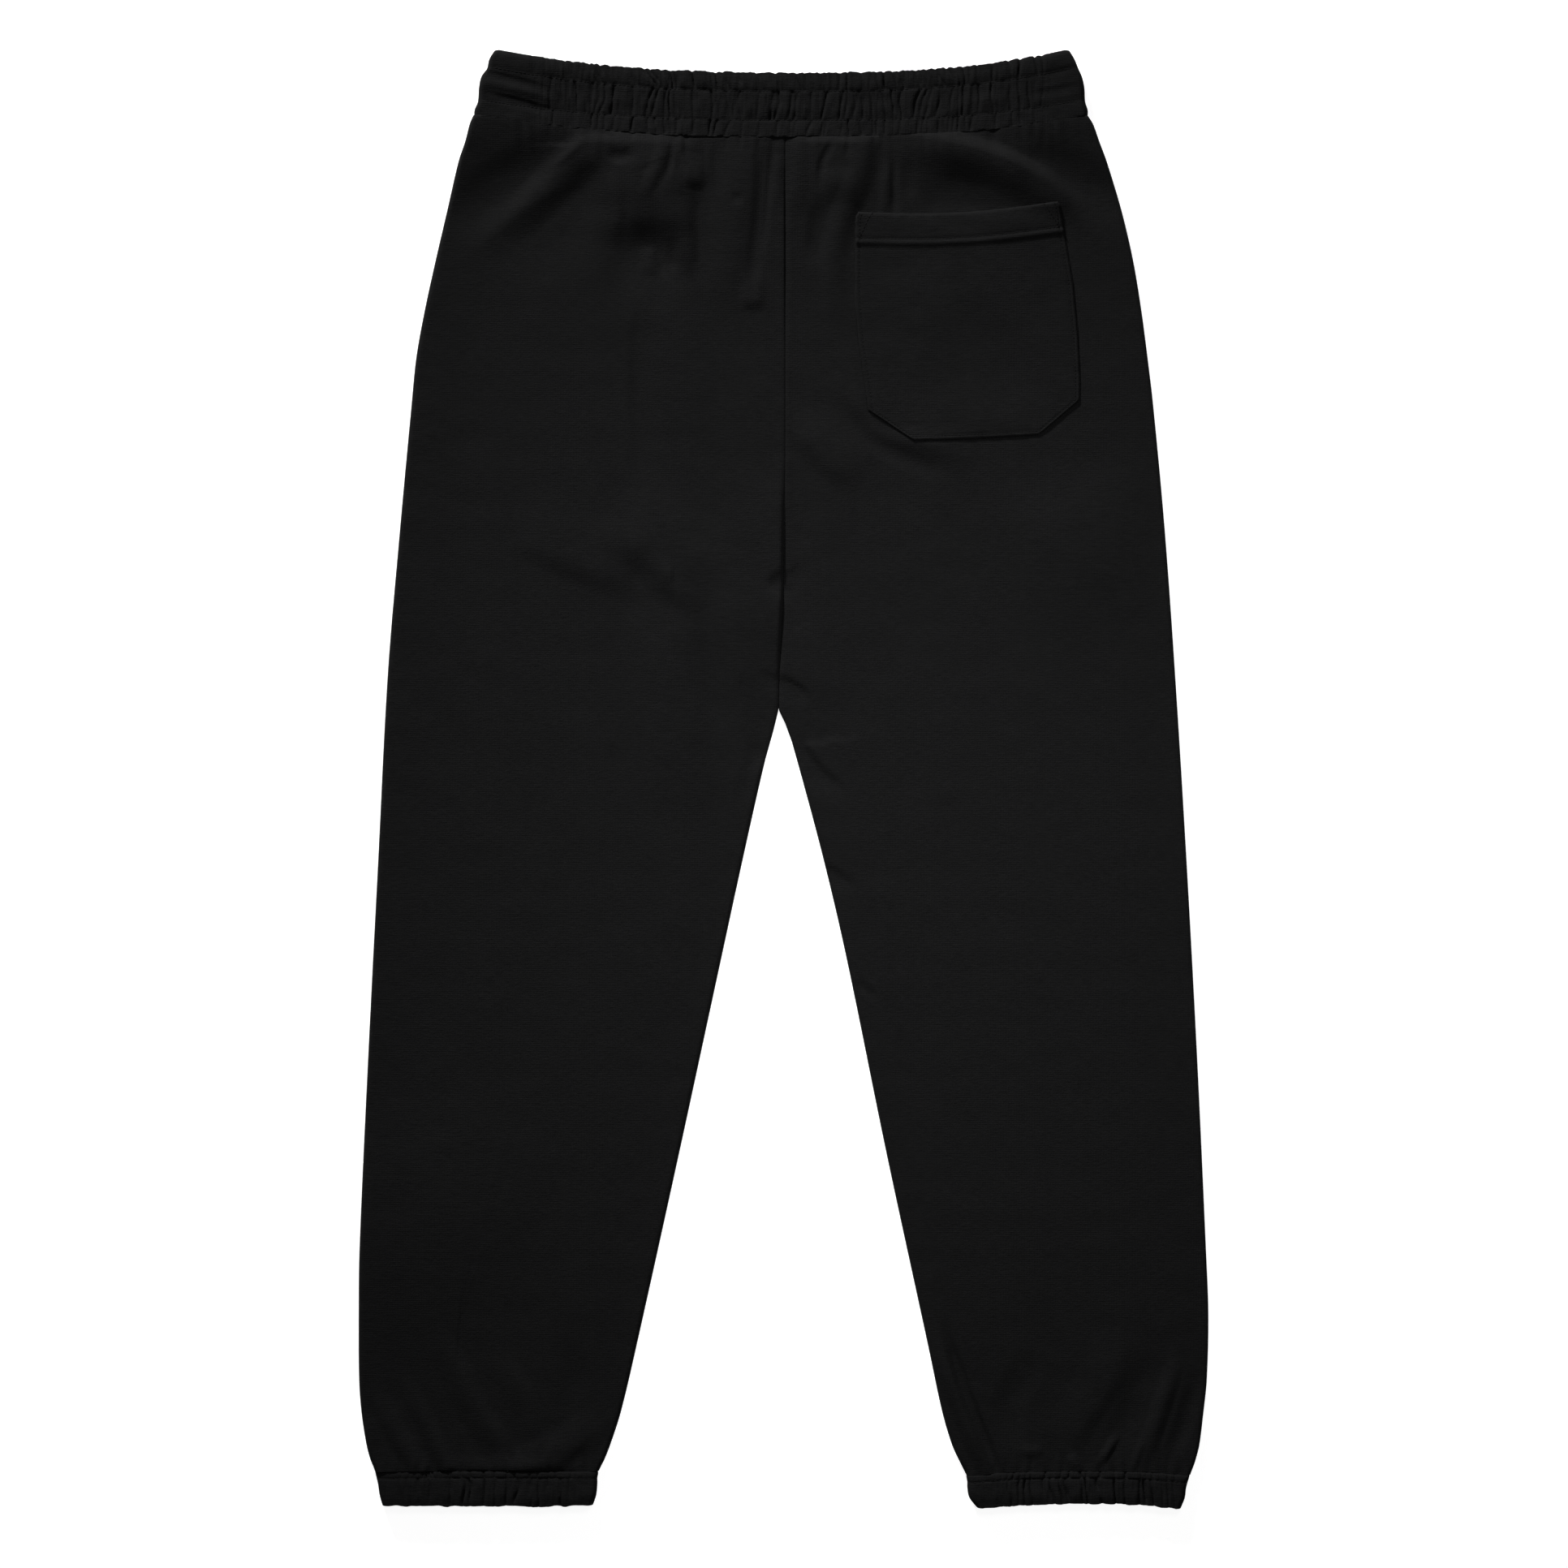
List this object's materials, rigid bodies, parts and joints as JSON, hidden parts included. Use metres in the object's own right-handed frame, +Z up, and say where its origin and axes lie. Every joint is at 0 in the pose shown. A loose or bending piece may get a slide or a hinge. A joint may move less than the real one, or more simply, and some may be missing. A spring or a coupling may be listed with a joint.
{
  "type": "jogger sweatpants laid flat",
  "caption": "Black fleece jogger sweatpants laid flat with the back side up, with a gathered elastic waistband, elastic ankle cuffs and a back patch pocket.",
  "frame": {"origin": "middle of the garment's outline, on the surface it lies on", "axes": "+X towards the wearer's right leg, +Y towards the waist, +Z up from the surface to the back side"},
  "size_m": [0.6072, 1.04, 0.015],
  "materials": {
    "fleece": "matt brushed knit fleece",
    "casing": "matt knit fleece gathered over elastic"
  },
  "bodies": {
    "root": {"back_panel_left": "fleece", "back_panel_right": "fleece", "front_panel_left": "fleece", "front_panel_right": "fleece", "back_pocket": "fleece", "waistband": "casing", "cuff_left": "casing", "cuff_right": "casing"}
  },
  "joints": []
}
